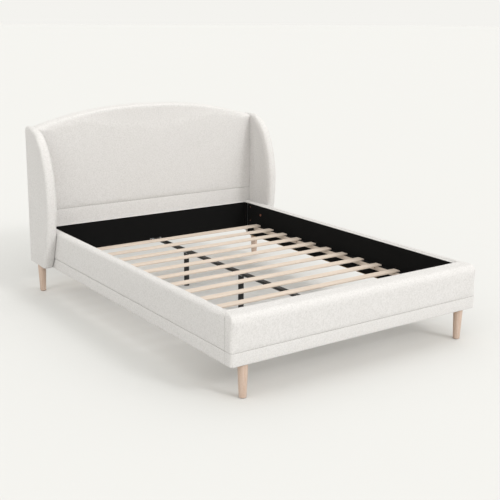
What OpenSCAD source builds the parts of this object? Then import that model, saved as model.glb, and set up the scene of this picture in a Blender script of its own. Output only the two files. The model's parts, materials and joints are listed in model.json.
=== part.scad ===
// Upholstered wingback bed for a 1400 x 1900 mattress, in millimetres.
// Origin on the floor under the middle of the bed. +Z up, headboard at +Y, foot end at -Y.

/* [Mattress well] */
// Clear width between the black side linings
well_w = 1410; // [1300:10:1500]
// Clear length from the foot lining to the head lining
well_l = 1920; // [1850:10:1990]

/* [Heights above the floor] */
// Underside of the rails, footboard and wings
base_z = 163; // [140:1:180]
// Underside of the headboard and the head rail
head_base_z = 200; // [163:1:210]
// Sewn line between the main covers and the bottom bands
band_z = 228; // [215:1:240]
// Inner top edge of the rails
edge_z = 385; // [370:1:400]
// Top of the padded crown on the rails
crown_z = 397; // [390:1:410]
// Top face of the slats, where the mattress rests
slat_z = 257; // [245:1:270]

/* [Headboard] */
// Top of the arch in the middle
arch_top = 1092; // [1000:2:1150]
// Top of the arch where it meets the wings
arch_end = 982; // [940:2:990]
// Sewn line across the front of the headboard
head_seam_z = 484; // [450:2:520]
// Headboard depth from front cover to back cover
head_t = 87; // [80:1:95]
// Strip of head rail in front of the headboard
head_rail_t = 25; // [22:1:30]

/* [Wings] */
// Wing thickness
wing_t = 44; // [42:1:66]
// Top of the wings
wing_top = 992; // [988:1:1000]
// How far the belly of a wing stands in front of its back edge
wing_reach = 336; // [300:2:340]

/* [Rails and footboard] */
// Side rail thickness, lining to outer cover
rail_t = 54; // [52:1:60]
// Footboard depth, lining to front cover
foot_t = 112; // [106:1:120]
// How far the footboard cover returns round the corners
foot_return = 52; // [45:1:60]

/* [Slats] */
// Spacing of the slats, centre to centre
slat_pitch = 149; // [140:1:150]
// Slat width
slat_w = 50; // [40:1:60]
// Slat thickness
slat_t = 8; // [7:1:10]

/* [Centre support] */
// Width of the centre beam
beam_w = 30; // [26:1:36]
// Height of the centre beam
beam_h = 14; // [12:1:16]
// Gap between the beam and the slats, which they close when they bend
beam_gap = 20; // [0:1:24]
// Spacing of the centre legs
centre_leg_pitch = 600; // [550:10:620]
// Outer diameter of a centre leg
centre_leg_d = 32; // [26:1:34]

/* [Corner legs] */
// Diameter at the top
leg_top_d = 49; // [40:1:52]
// Diameter at the foot
leg_foot_d = 35; // [26:1:38]

/* [Hidden] */
$fn = 48;

fabric_colour = "#dcdad6";
inner_timber = "#c9a97a";
board_colour = "#b9945f";
slat_colour = "#e3d2bd";
lining_colour = "#161616";
leg_colour = "#d2b490";
zinc_colour = "#b9bcc0";

lining_t = 1.5;
board_t = 25;
plate_t = 4;
in_x = well_w/2;                      // face of the side linings
in_y = well_l/2;                      // face of the head and foot linings
board_x = in_x + lining_t;            // inner face of the side rail boards
cover_x = board_x + board_t;          // where board ends and padding starts
out_x = in_x + rail_t;                // outer face of the rail covers
foot_y = -in_y - foot_t;              // front face of the footboard cover
foot_core_y = foot_y + 15;            // front face of the footboard frame
foot_seam_y = foot_y + foot_return;   // upright seam on each side of the footboard
board_top = edge_z - 9;               // top of the boards, under the padding
head_y = in_y + head_rail_t;          // front face of the headboard
back_y = head_y + head_t;             // back face of the headboard and wings
head_pad_t = 35;
panel_t = 12;
back_cover_t = 9;
arch_pad = 15;                        // padding over the headboard's top edge
wing_in = out_x + 3;                  // inner face of the wings
wing_out = wing_in + wing_t;          // outer face of the wings
wing_mid = (wing_in + wing_out)/2;
wing_core_t = 24;                     // thickness of the timber in the wings
wing_inset = 14;                      // padding round the edge of the wing timber
post_y = in_y - 32;                   // foot side of the head posts
hook_y = post_y - plate_t;            // head end of the side rail boards
ledge_w = 30;
ledge_h = 25;
slat_low = slat_z - slat_t;           // underside of the slats
ledge_z = slat_low - lining_t - ledge_h;
slat_l = well_w - 10;
slat_first_y = in_y - 173;            // centre of the slat nearest the head
ledge_end_y = slat_first_y + slat_w/2 - 5;  // head end of the ledges, hidden under the first slat
beam_top = slat_low - beam_gap;
centre_leg_y = [570, 570 - centre_leg_pitch, 570 - 2*centre_leg_pitch];
leg_x = in_x - 29;                    // front legs, from the middle
leg_y = -in_y - 77;
rear_leg_y = in_y - 2;
glide_t = 2;
bolt_r = 4;
bolt_gap = 0.2;
thread_gap = 0.05;
levelling_r = 4;
levelling_bore_r = 4.05;
levelling_pad_t = 6;
stile_w = 60;                         // width of the headboard frame's sides
wing_bolt_y = head_y + head_pad_t + panel_t + 12;  // bolts from the headboard frame into the wings
wing_bolt_zs = [340, 800];
wing_bolt_l = stile_w + 30;
rail_bolt_y = 772;                    // bolts in the side rails, near the head end
rail_bolt_z = 325;
screw_r = 1.8;
screw_hole_r = 2;
screw_l = 45;
hook_screw_y = in_y - 68;             // screws that hold the hook plates to the side rails
hook_screw_zs = [362, 268];
ledge_screw_ys = [-765:365:695];
bracket_screw_x = 33;                 // screws through the ears of the beam brackets
bracket_screw_z = beam_top - 11;

// A point on a cubic Bezier curve
function bezier(p, t) =
  pow(1 - t, 3)*p[0] + 3*t*pow(1 - t, 2)*p[1] + 3*t*t*(1 - t)*p[2] + pow(t, 3)*p[3];
function bezier_points(p, n) = [for (i = [0:n]) bezier(p, i/n)];

// Side outline of a wing as [y, z], drawn in by d all round except at the base
function wing_outline(d) = let (
    belly = back_y - wing_reach + d, top = wing_top - d, belly_z = base_z + 397)
  concat(
    [[back_y - d, base_z]],
    bezier_points([[back_y - 226 + d, base_z], [back_y - 282 + d, base_z + 52],
      [belly, base_z + 217], [belly, belly_z]], 14),
    bezier_points([[belly, belly_z], [belly, belly_z + 200],
      [back_y - 252 + d, top - 7], [back_y - 87, top]], 16),
    [[back_y - d, top - 3]]);

// Height of the headboard's arch at x
function arch_z(x, d) = arch_end - d + (arch_top - arch_end)*(1 - pow(abs(x)/(wing_in - 0.5), 2.3));
// Points along the arch as [x, z], drawn in by d, from x = -half to half
function arch_points(half, d) = [for (i = [-24:24]) [half*i/24, arch_z(half*i/24, d)]];
// Front outline of the headboard as [x, z] from z0 up to the arch, drawn in by d at the top
function arch_outline(half, z0, d) = concat([[-half, z0]], arch_points(half, d), [[half, z0]]);

// Extrudes an [x, z] outline from y0 to y1
module slab_y(points, y0, y1)
  translate([0, y1, 0]) rotate([90, 0, 0]) linear_extrude(y1 - y0) polygon(points);
// Extrudes a [y, z] outline from x0 to x1
module slab_x(points, x0, x1)
  translate([x0, 0, 0]) rotate([90, 0, 90]) linear_extrude(x1 - x0) polygon(points);
// Block between two corners
module block(low, high) translate(low) cube(high - low);
// Copies its children to the other side of the bed
module on_both_sides() { children(); mirror([1, 0, 0]) children(); }
// Puts right-hand children on the left when side is -1
module on_side(side) { if (side > 0) children(); else mirror([1, 0, 0]) children(); }

// Holes for the bolts from the headboard frame into a wing
module wing_bolt_holes() for (z = wing_bolt_zs)
  translate([wing_in - stile_w - 2, wing_bolt_y, z]) rotate([0, 90, 0])
    cylinder(r = bolt_r + bolt_gap, h = wing_bolt_l + 4);
// Holes for the bolt and the screws that run outwards into a side rail, from its inner face
module side_fixing_holes() {
  translate([in_x - 1, rail_bolt_y, rail_bolt_z]) rotate([0, 90, 0])
    cylinder(r = bolt_r + bolt_gap, h = board_t + 5);
  for (z = hook_screw_zs) translate([in_x - 1, hook_screw_y, z]) rotate([0, 90, 0])
    cylinder(r = screw_hole_r, h = 22);
  for (y = ledge_screw_ys) translate([in_x - ledge_w - 1, y, ledge_z + ledge_h/2]) rotate([0, 90, 0])
    cylinder(r = screw_hole_r, h = screw_l + 3);
}
// Holes for the beam bracket's screws at the head end
module bracket_screw_holes() for (x = [-1, 1])
  translate([x*bracket_screw_x, in_y - 5, bracket_screw_z]) rotate([-90, 0, 0])
    cylinder(r = screw_hole_r, h = 26);

// --- Headboard ---
module headboard_frame() color(inner_timber) {
  half = wing_in - 0.5;
  y0 = head_y + head_pad_t + panel_t;
  y1 = back_y - back_cover_t;
  difference() {
    slab_y(arch_outline(half, head_base_z, arch_pad), y0, y1);
    for (x = [-half + stile_w, 30]) {
      block([x, y0 - 1, head_base_z + 40], [x + half - stile_w - 30, y1 + 1, head_seam_z - 40]);
      block([x, y0 - 1, head_seam_z + 20], [x + half - stile_w - 30, y1 + 1, arch_end - 90]);
    }
    on_both_sides() wing_bolt_holes();
  }
}
module headboard_panel() color(board_colour)
  slab_y(arch_outline(wing_in - 0.5, head_base_z, arch_pad), head_y + head_pad_t,
    head_y + head_pad_t + panel_t);
// Front pad, with a strip that wraps back over the top edge of the timber
module headboard_upper_pad() color(fabric_colour) {
  half = wing_in - 0.5;
  lower = arch_points(half, arch_pad);
  strip = concat(arch_points(half, 0), [for (i = [len(lower) - 1:-1:0]) lower[i]]);
  slab_y(arch_outline(half, head_seam_z, 0), head_y, head_y + head_pad_t);
  slab_y(strip, head_y + head_pad_t, back_y - back_cover_t);
}
module headboard_lower_pad() color(fabric_colour)
  block([-wing_in + 0.5, head_y, edge_z + 3], [wing_in - 0.5, head_y + head_pad_t, head_seam_z]);
module headboard_back_cover() color(fabric_colour)
  slab_y(arch_outline(wing_in - 0.5, head_base_z, 2), back_y - back_cover_t, back_y);

// --- Wings ---
module wing_frame(side) color(inner_timber) on_side(side) difference() {
  slab_x(wing_outline(wing_inset), wing_mid - wing_core_t/2, wing_mid + wing_core_t/2);
  wing_bolt_holes();
  translate([wing_mid, rear_leg_y, base_z - 1]) cylinder(r = bolt_r + thread_gap, h = 42);
}
module wing_cover(side) color(fabric_colour) on_side(side) difference() {
  slab_x(wing_outline(0), wing_in, wing_out);
  slab_x(concat([[back_y - wing_inset, base_z - 1]], wing_outline(wing_inset)),
    wing_mid - wing_core_t/2, wing_mid + wing_core_t/2);
  wing_bolt_holes();
}
module left_wing_frame() wing_frame(-1);
module right_wing_frame() wing_frame(1);
module left_wing_cover() wing_cover(-1);
module right_wing_cover() wing_cover(1);

// --- Head rail and posts ---
module head_rail_board() color(inner_timber) difference() {
  block([-board_x, in_y + lining_t, head_base_z], [board_x, head_y + head_pad_t, board_top]);
  bracket_screw_holes();
}
module head_rail_cover() color(fabric_colour)
  block([-board_x, in_y + lining_t, board_top], [board_x, head_y - 0.5, edge_z + 1]);
module head_rail_lining() color(lining_colour) difference() {
  union() {
    block([-board_x, in_y, head_base_z + 3], [board_x, in_y + lining_t, edge_z]);
    on_both_sides() block([in_x, post_y, head_base_z + 3], [board_x, in_y + lining_t, edge_z]);
  }
  bracket_screw_holes();
}
module head_post(side) color(inner_timber) on_side(side)
  block([board_x, post_y, head_base_z], [cover_x, head_y + head_pad_t, board_top]);
module left_head_post() head_post(-1);
module right_head_post() head_post(1);

// --- Side rails ---
// Section of a rail's upper cover as [x, z]: outer padding and a crowned top
function cover_section(z0) = let (r = 18, crown_x = board_x + 16) concat(
  [[cover_x, z0], [cover_x, board_top], [board_x, board_top], [board_x, edge_z + 1],
   [board_x + 9, edge_z + 3]],
  [for (a = [160:-20:90]) [crown_x + 12 + 12*cos(a), crown_z - 8 + 8*sin(a)]],
  [for (a = [80:-10:0]) [out_x - r + r*cos(a), crown_z - r + r*sin(a)]],
  [[out_x, z0]]);
module rail_board(side) color(inner_timber) on_side(side) difference() {
  block([board_x, -in_y - lining_t + plate_t, base_z], [cover_x, hook_y, board_top]);
  side_fixing_holes();
}
module rail_cover(side) color(fabric_colour) on_side(side) difference() {
  slab_y(cover_section(band_z), foot_seam_y, head_y - 0.5);
  block([in_x, foot_seam_y - 1, band_z - 1], [cover_x, -in_y - lining_t, crown_z + 1]);
}
module rail_band(side) color(fabric_colour) on_side(side)
  block([cover_x, foot_seam_y, base_z], [out_x, head_y - 0.5, band_z]);
// Lining on the inside of a rail, with a flap that lies over the slat ledge
module rail_lining(side) color(lining_colour) on_side(side) difference() {
  union() {
    block([in_x, -in_y, base_z + 3], [board_x, hook_y, edge_z]);
    block([in_x - ledge_w, -in_y + 2, slat_low - lining_t], [board_x, ledge_end_y, slat_low]);
  }
  side_fixing_holes();
}
module left_rail_board() rail_board(-1);
module right_rail_board() rail_board(1);
module left_rail_cover() rail_cover(-1);
module right_rail_cover() rail_cover(1);
module left_rail_band() rail_band(-1);
module right_rail_band() rail_band(1);
module left_rail_lining() rail_lining(-1);
module right_rail_lining() rail_lining(1);

// --- Footboard ---
module footboard_frame() color(inner_timber) {
  wall = 18;
  solid_end = 130;
  y1 = -in_y - lining_t;
  difference() {
    block([-cover_x, foot_core_y, base_z], [cover_x, y1, board_top]);
    block([-cover_x + solid_end, foot_core_y + wall, base_z - 1],
      [cover_x - solid_end, y1 - wall, board_top - wall]);
    on_both_sides() translate([leg_x, leg_y, base_z - 1]) cylinder(r = bolt_r + thread_gap, h = 42);
    mirror([0, 1, 0]) bracket_screw_holes();
  }
}
// Section of the footboard's cover as [y, z], front on the left
function foot_section() = let (r = 34) concat(
  [[foot_y, band_z]],
  [for (a = [180:-10:90]) [foot_y + r + r*cos(a), crown_z - r + r*sin(a)]],
  [for (a = [90:-15:15]) [-in_y - lining_t - 32 + 30*cos(a), crown_z - 11 + 11*sin(a)]],
  [[-in_y - lining_t, edge_z], [-in_y - lining_t, board_top], [foot_core_y, board_top],
   [foot_core_y, band_z]]);
module footboard_cover() color(fabric_colour) {
  slab_x(foot_section(), -cover_x, cover_x);
  on_both_sides() block([cover_x, foot_y, band_z], [out_x, foot_seam_y, crown_z - 12]);
}
module footboard_band() color(fabric_colour) {
  block([-out_x, foot_y, base_z], [out_x, foot_core_y, band_z]);
  on_both_sides() block([cover_x, foot_core_y, base_z], [out_x, foot_seam_y, band_z]);
}
module footboard_lining() color(lining_colour) difference() {
  block([-board_x, -in_y - lining_t, base_z + 3], [board_x, -in_y, edge_z]);
  mirror([0, 1, 0]) bracket_screw_holes();
}

// --- Slats ---
module slat_ledge(side) color(slat_colour) on_side(side) difference() {
  block([in_x - ledge_w, -in_y + 2, ledge_z], [in_x, ledge_end_y, ledge_z + ledge_h]);
  side_fixing_holes();
}
module left_slat_ledge() slat_ledge(-1);
module right_slat_ledge() slat_ledge(1);
// Slat number i, counted from the head end
module slat(i) color(slat_colour)
  translate([0, slat_first_y - (i - 1)*slat_pitch, slat_z - slat_t/2])
    cube([slat_l, slat_w, slat_t], center = true);
module slat_1() slat(1);
module slat_2() slat(2);
module slat_3() slat(3);
module slat_4() slat(4);
module slat_5() slat(5);
module slat_6() slat(6);
module slat_7() slat(7);
module slat_8() slat(8);
module slat_9() slat(9);
module slat_10() slat(10);
module slat_11() slat(11);
module slat_12() slat(12);

// --- Centre support ---
module centre_beam() color(lining_colour) difference() {
  wall = 2;
  block([-beam_w/2, -in_y + 4, beam_top - beam_h], [beam_w/2, in_y - 4, beam_top]);
  block([-beam_w/2 + wall, -in_y, beam_top - beam_h + wall], [beam_w/2 - wall, in_y, beam_top - wall]);
}
// Hanger that carries one end of the beam, drawn at the head end
module beam_bracket() {
  t = 2;
  ear = 26;
  low = beam_top - beam_h - t;
  difference() {
    union() {
      block([-beam_w/2 - ear, in_y - t, low], [beam_w/2 + ear, in_y, beam_top - 4]);
      block([-beam_w/2 - t - 0.2, in_y - 30, low], [beam_w/2 + t + 0.2, in_y, beam_top - 4]);
    }
    block([-beam_w/2 - 0.2, in_y - 31, low + t], [beam_w/2 + 0.2, in_y - t, beam_top + 1]);
    bracket_screw_holes();
  }
}
module beam_brackets() color(zinc_colour) { beam_bracket(); mirror([0, 1, 0]) beam_bracket(); }
module centre_leg(i) color(lining_colour) {
  low = levelling_pad_t + 0.5;
  high = beam_top - beam_h - 3;
  translate([0, centre_leg_y[i], low]) difference() {
    cylinder(d = centre_leg_d, h = high - low);
    translate([0, 0, 40]) cylinder(d = centre_leg_d - 4, h = high - low - 46);
    translate([0, 0, -1]) cylinder(r = levelling_bore_r, h = 42);
  }
}
module head_centre_leg() centre_leg(0);
module middle_centre_leg() centre_leg(1);
module foot_centre_leg() centre_leg(2);
module levelling_foot(i) color("#3a3a3a") translate([0, centre_leg_y[i], 0]) {
  cylinder(d = centre_leg_d + 2, h = levelling_pad_t);
  cylinder(r = levelling_r, h = 46);
}
module head_levelling_foot() levelling_foot(0);
module middle_levelling_foot() levelling_foot(1);
module foot_levelling_foot() levelling_foot(2);
// Plate under the beam with a gusset beside each leg
module centre_leg_brackets() color(zinc_colour) for (y = centre_leg_y) translate([0, y, 0]) {
  top = beam_top - beam_h;
  block([-beam_w/2, -30, top - 3], [beam_w/2 + 14, 30, top]);
  translate([0, 1.5, 0]) rotate([90, 0, 0]) linear_extrude(3)
    polygon([[centre_leg_d/2, top - 3], [centre_leg_d/2 + 15, top - 3], [centre_leg_d/2, top - 30]]);
}

// --- Corner legs ---
// Turned leg with its axis at the origin and a small radius at the foot
module turned_leg() color(leg_colour) {
  edge = 3;
  top = base_z - glide_t;
  difference() {
    rotate_extrude() polygon(concat(
      [[0, 0]],
      [for (a = [-90:22.5:0]) [leg_foot_d/2 - edge + edge*cos(a), edge + edge*sin(a)]],
      [[leg_top_d/2, top], [0, top]]));
    translate([0, 0, top - 35]) cylinder(r = bolt_r + thread_gap, h = 40);
  }
}
module leg_at(x, y) translate([x, y, glide_t]) turned_leg();
module front_left_leg() leg_at(-leg_x, leg_y);
module front_right_leg() leg_at(leg_x, leg_y);
module rear_left_leg() leg_at(-wing_mid, rear_leg_y);
module rear_right_leg() leg_at(wing_mid, rear_leg_y);
module at_each_leg() on_both_sides() {
  translate([leg_x, leg_y, 0]) children();
  translate([wing_mid, rear_leg_y, 0]) children();
}
module leg_hanger_bolts() color(zinc_colour)
  at_each_leg() translate([0, 0, base_z - 34]) cylinder(r = bolt_r, h = 72);
module leg_glides() color("#55504a") at_each_leg() cylinder(d = leg_foot_d - 11, h = glide_t);

// --- Fittings ---
module rail_hook_plates() color(zinc_colour) on_both_sides() {
  block([board_x, hook_y, head_base_z + 10], [cover_x, post_y, board_top - 4]);
  block([in_x, hook_y, head_base_z + 10], [board_x, post_y, edge_z - 3]);
  block([board_x, -in_y - lining_t, base_z + 20], [cover_x, -in_y - lining_t + plate_t, board_top - 4]);
}
// Bolt along +Z with a domed head, the underside of the head at the origin
module domed_bolt(length) {
  intersection() {
    translate([0, 0, 6.5]) sphere(r = 11);
    translate([0, 0, -4]) cylinder(r = 8, h = 4);
  }
  cylinder(r = bolt_r, h = length);
}
module wing_bolts() color("#7a4a38") on_both_sides() for (z = wing_bolt_zs)
  translate([wing_in - 0.5 - stile_w, wing_bolt_y, z]) rotate([0, 90, 0]) domed_bolt(wing_bolt_l);
module rail_bolts() color("#7a4a38") on_both_sides()
  translate([in_x, rail_bolt_y, rail_bolt_z]) rotate([0, 90, 0]) domed_bolt(board_t - 1);
// Screw along +Z with the underside of its head at the origin
module screw(head_r, length) {
  translate([0, 0, -1.6]) cylinder(r1 = head_r*0.7, r2 = head_r, h = 1.6);
  cylinder(r = screw_r, h = length);
}
module panel_screws() color("#7a4a38") {
  on_both_sides() {
    for (z = hook_screw_zs) translate([in_x, hook_screw_y, z]) rotate([0, 90, 0]) screw(3.5, 20);
    for (y = ledge_screw_ys) translate([in_x - ledge_w, y, ledge_z + ledge_h/2]) rotate([0, 90, 0])
      screw(4, screw_l);
  }
  for (end = [0, 1]) mirror([0, end, 0]) for (x = [-1, 1])
    translate([x*bracket_screw_x, in_y - 2, bracket_screw_z]) rotate([-90, 0, 0]) screw(4, 20);
}

headboard_frame();
headboard_panel();
headboard_upper_pad();
headboard_lower_pad();
headboard_back_cover();
left_wing_frame();
right_wing_frame();
left_wing_cover();
right_wing_cover();
head_rail_board();
head_rail_cover();
head_rail_lining();
left_head_post();
right_head_post();
left_rail_board();
right_rail_board();
left_rail_cover();
right_rail_cover();
left_rail_band();
right_rail_band();
left_rail_lining();
right_rail_lining();
footboard_frame();
footboard_cover();
footboard_band();
footboard_lining();
left_slat_ledge();
right_slat_ledge();
slat_1();
slat_2();
slat_3();
slat_4();
slat_5();
slat_6();
slat_7();
slat_8();
slat_9();
slat_10();
slat_11();
slat_12();
centre_beam();
beam_brackets();
head_centre_leg();
middle_centre_leg();
foot_centre_leg();
head_levelling_foot();
middle_levelling_foot();
foot_levelling_foot();
centre_leg_brackets();
front_left_leg();
front_right_leg();
rear_left_leg();
rear_right_leg();
leg_hanger_bolts();
leg_glides();
rail_hook_plates();
wing_bolts();
rail_bolts();
panel_screws();
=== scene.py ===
# %% [markdown]
# # An upholstered wingback bed
#
# The bed is a timber box on tapered legs, wrapped in foam and off-white furnishing cloth. The timber,
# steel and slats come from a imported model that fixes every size. This script dresses it: each padded
# cover is built as a closed skin, blown up a little with cloth simulation, and given a woven finish.
#
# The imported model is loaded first, because every size and place below is read from its parts.
# %% Load the bed's frame
import json
import math

import bmesh
import bpy
import numpy as np
from mathutils import Matrix, Vector, noise


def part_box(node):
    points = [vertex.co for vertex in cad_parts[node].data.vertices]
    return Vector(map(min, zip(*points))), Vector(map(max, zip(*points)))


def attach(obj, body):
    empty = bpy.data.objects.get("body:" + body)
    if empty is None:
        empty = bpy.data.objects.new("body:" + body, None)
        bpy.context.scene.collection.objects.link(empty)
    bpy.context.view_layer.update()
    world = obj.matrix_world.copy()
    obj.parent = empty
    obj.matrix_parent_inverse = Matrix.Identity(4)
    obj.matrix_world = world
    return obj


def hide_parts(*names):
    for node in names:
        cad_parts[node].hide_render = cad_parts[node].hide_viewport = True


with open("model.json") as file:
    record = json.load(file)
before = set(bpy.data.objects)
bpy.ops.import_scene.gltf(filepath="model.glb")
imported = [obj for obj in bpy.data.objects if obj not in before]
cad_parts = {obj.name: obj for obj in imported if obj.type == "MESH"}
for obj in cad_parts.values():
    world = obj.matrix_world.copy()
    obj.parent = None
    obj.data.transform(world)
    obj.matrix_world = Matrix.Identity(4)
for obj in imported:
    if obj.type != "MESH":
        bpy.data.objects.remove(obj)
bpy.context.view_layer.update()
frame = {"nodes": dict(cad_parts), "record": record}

scene = bpy.context.scene

# %% [markdown]
# ## Sizes
#
# A bounding box gives a part's lowest and highest corner, in metres. The bed is the same on its left
# and right, so the right-hand parts are measured and the left-hand ones are mirrored from them.
# %% Read the sizes from the parts
rail_lo, rail_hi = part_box("right_rail_cover")
band_lo, band_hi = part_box("right_rail_band")
foot_lo, foot_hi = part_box("footboard_cover")
wing_lo, wing_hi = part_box("right_wing_cover")
upper_lo, upper_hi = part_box("headboard_upper_pad")
lower_lo, lower_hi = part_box("headboard_lower_pad")
back_lo, back_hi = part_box("headboard_back_cover")
strip_lo, strip_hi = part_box("head_rail_cover")
board_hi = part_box("right_rail_board")[1]
core_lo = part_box("footboard_frame")[0]
panel_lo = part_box("headboard_panel")[0]

OUT_X = rail_hi.x                # outer face of the side rails
COVER_X = band_lo.x              # outer face of the timber, where the padding starts
WELL_X = rail_lo.x               # inner edge of the rail tops
WELL_Y = foot_hi.y               # inner edge of the footboard's top
FRONT_Y = foot_lo.y              # front of the footboard
CORNER_Y = band_lo.y             # upright seam where a rail meets the footboard
BASE_Z = band_lo.z               # underside of the padding
BAND_Z = band_hi.z               # seam between the covers and the bottom bands
BOARD_TOP = board_hi.z           # top of the timber
EDGE_Z = strip_hi.z              # inner top edge of the padding
CROWN_Z = rail_hi.z              # top of the padded crown
PAD_BACK_Y = panel_lo.y          # where the headboard's foam rests on its panel
WELT = 0.003                     # radius that cloth takes beside a long seam
TUCK = 0.0011                    # how far cloth turns in at an upright seam
HOLD = 0.014                     # how far from a long seam the cloth stays tight
SEAM_DEPTH = 0.0013              # how deep the thread lies in a long seam
SLACK = 0.0005                   # how near a point must be to timber to count as lying on it
print("rail", OUT_X, "front", FRONT_Y, "crown", CROWN_Z)

# %% [markdown]
# ## Camera, light and floor
#
# The bed is seen from beyond its left foot corner, from just above eye level, with a short telephoto
# lens. The angles below turn into the camera's three axes, and its matrix is written out from them.
# %% Place the camera
def camera_matrix(place, yaw, pitch, roll):
    """Camera at a place, turned by yaw from +Y towards +X, tipped down by pitch and rolled."""
    forward = Vector((math.sin(yaw) * math.cos(pitch), math.cos(yaw) * math.cos(pitch), -math.sin(pitch)))
    level = Vector((math.cos(yaw), -math.sin(yaw), 0))
    upright = level.cross(forward)
    right = level * math.cos(roll) + upright * math.sin(roll)
    up = upright * math.cos(roll) - level * math.sin(roll)
    turned = Matrix((right, up, -forward)).transposed().to_4x4()
    return Matrix.Translation(place) @ turned

lens = bpy.data.cameras.new("bed_camera")
lens.sensor_width = 36
lens.lens = 64.43
lens.clip_end = 500
camera = bpy.data.objects.new("bed_camera", lens)
scene.collection.objects.link(camera)
CAMERA_PLACE = (-2.7378, -4.0425, 1.6096)
camera.matrix_world = camera_matrix(CAMERA_PLACE, yaw=0.6090, pitch=0.2526, roll=0.0070)
scene.camera = camera
print("camera at", CAMERA_PLACE)

# %% [markdown]
# ## Colours and nodes
#
# Colours are written as sRGB hex values, as a picker gives them. Shaders work in linear light, so one
# function converts them. One more function adds a node with its settings and links, and serves shader
# trees and geometry trees alike.
# %% Colour and node helpers
def colour(code):
    """Linear RGBA from an sRGB hex value such as #dcd9d4."""
    parts = [int(code[i:i + 2], 16) / 255 for i in (1, 3, 5)]
    return [p / 12.92 if p <= 0.04045 else ((p + 0.055) / 1.055) ** 2.4 for p in parts] + [1]

def add(tree, kind, inputs=None, **settings):
    """Adds a node. Each input is given a value, or a socket of another node to take it from."""
    node = tree.nodes.new(kind)
    for name, value in settings.items():
        setattr(node, name, value)
    for name, value in (inputs or {}).items():
        socket = node.inputs[name]
        if isinstance(value, bpy.types.NodeSocket):
            tree.links.new(value, socket)
        else:
            socket.default_value = value
    return node

print("thread white in linear light", [round(v, 3) for v in colour("#dcd9d4")])

# %% [markdown]
# A room with white walls lights a pale object from all sides, and one large window gives its shape.
# The world stands for the walls, brighter overhead and to the left of the foot end, where the lamps
# would be, and darker behind on the left. Two suns stand for the window, one wide and one narrow, as
# clouds with a brighter patch would light it. They come over the foot end from the right, which leaves
# the left side in gentle shade.
# %% Light the room
world = bpy.data.worlds.new("white_room")
world.use_nodes = True
room = world.node_tree
looking = add(room, "ShaderNodeTexCoord").outputs["Generated"]
direction = add(room, "ShaderNodeSeparateXYZ", {0: looking}).outputs
overhead = add(room, "ShaderNodeMapRange", {
    "Value": direction[2], "From Min": 0.1, "From Max": 0.8, "To Max": 0.45})
towards_lamps = add(room, "ShaderNodeVectorMath", {0: looking, 1: (-0.85, -0.5, 0.15)},
                    operation="DOT_PRODUCT")
at_lamps = add(room, "ShaderNodeMapRange", {
    "Value": towards_lamps.outputs["Value"], "From Min": 0.0, "From Max": 0.9, "To Max": 0.65})
to_left = add(room, "ShaderNodeMapRange", {
    "Value": direction[0], "From Min": 0.25, "From Max": -0.35, "To Max": 0.6})
behind = add(room, "ShaderNodeMapRange", {"Value": direction[1], "From Min": -0.2, "From Max": 0.3})
shade = add(room, "ShaderNodeMath", {0: to_left.outputs[0], 1: behind.outputs[0]}, operation="MULTIPLY")
lit = add(room, "ShaderNodeMath", {0: overhead.outputs[0], 1: at_lamps.outputs[0]}, operation="ADD")
open_wall = add(room, "ShaderNodeMath", {0: 1.0, 1: shade.outputs[0]}, operation="SUBTRACT")
strength = add(room, "ShaderNodeMath", {0: lit.outputs[0], 1: open_wall.outputs[0]}, operation="ADD")
walls = room.nodes["Background"]
walls.inputs["Color"].default_value = colour("#f4f3ef")
room.links.new(strength.outputs[0], walls.inputs["Strength"])
scene.world = world
scene.view_settings.view_transform = "Standard"

WINDOW_HEIGHT = math.radians(33)
for name, energy, width, azimuth in (("window", 0.50, 34, -60), ("bright_cloud", 0.60, 9, -70)):
    light = bpy.data.lights.new(name, "SUN")
    light.energy = energy
    light.angle = math.radians(width)
    lamp = bpy.data.objects.new(name, light)
    scene.collection.objects.link(lamp)
    bearing = math.radians(azimuth)
    towards_light = Vector((math.cos(bearing) * math.cos(WINDOW_HEIGHT),
                            math.sin(bearing) * math.cos(WINDOW_HEIGHT), math.sin(WINDOW_HEIGHT)))
    lamp.rotation_mode = "QUATERNION"
    lamp.rotation_quaternion = towards_light.to_track_quat("Z", "Y")
    print(name, "shines from", tuple(round(v, 2) for v in towards_light))

# %% Lay the floor
def flat_material(name, code, roughness):
    """Plain painted surface for the floor."""
    made = bpy.data.materials.new(name)
    made.use_nodes = True
    shader = made.node_tree.nodes["Principled BSDF"]
    shader.inputs["Base Color"].default_value = colour(code)
    shader.inputs["Roughness"].default_value = roughness
    shader.inputs["Specular IOR Level"].default_value = 0.1
    return made

FLOOR_REACH = 220
floor_mesh = bpy.data.meshes.new("floor")
floor_corners = [(x * FLOOR_REACH, y * FLOOR_REACH, 0) for x, y in ((-1, -1), (1, -1), (1, 1), (-1, 1))]
floor_mesh.from_pydata(floor_corners, [], [(0, 1, 2, 3)])
floor_mesh.materials.append(flat_material("matt_floor_paint", "#d0d0cf", 0.9))
floor = bpy.data.objects.new("floor", floor_mesh)
scene.collection.objects.link(floor)
print("floor reaches", FLOOR_REACH, "m")

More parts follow.
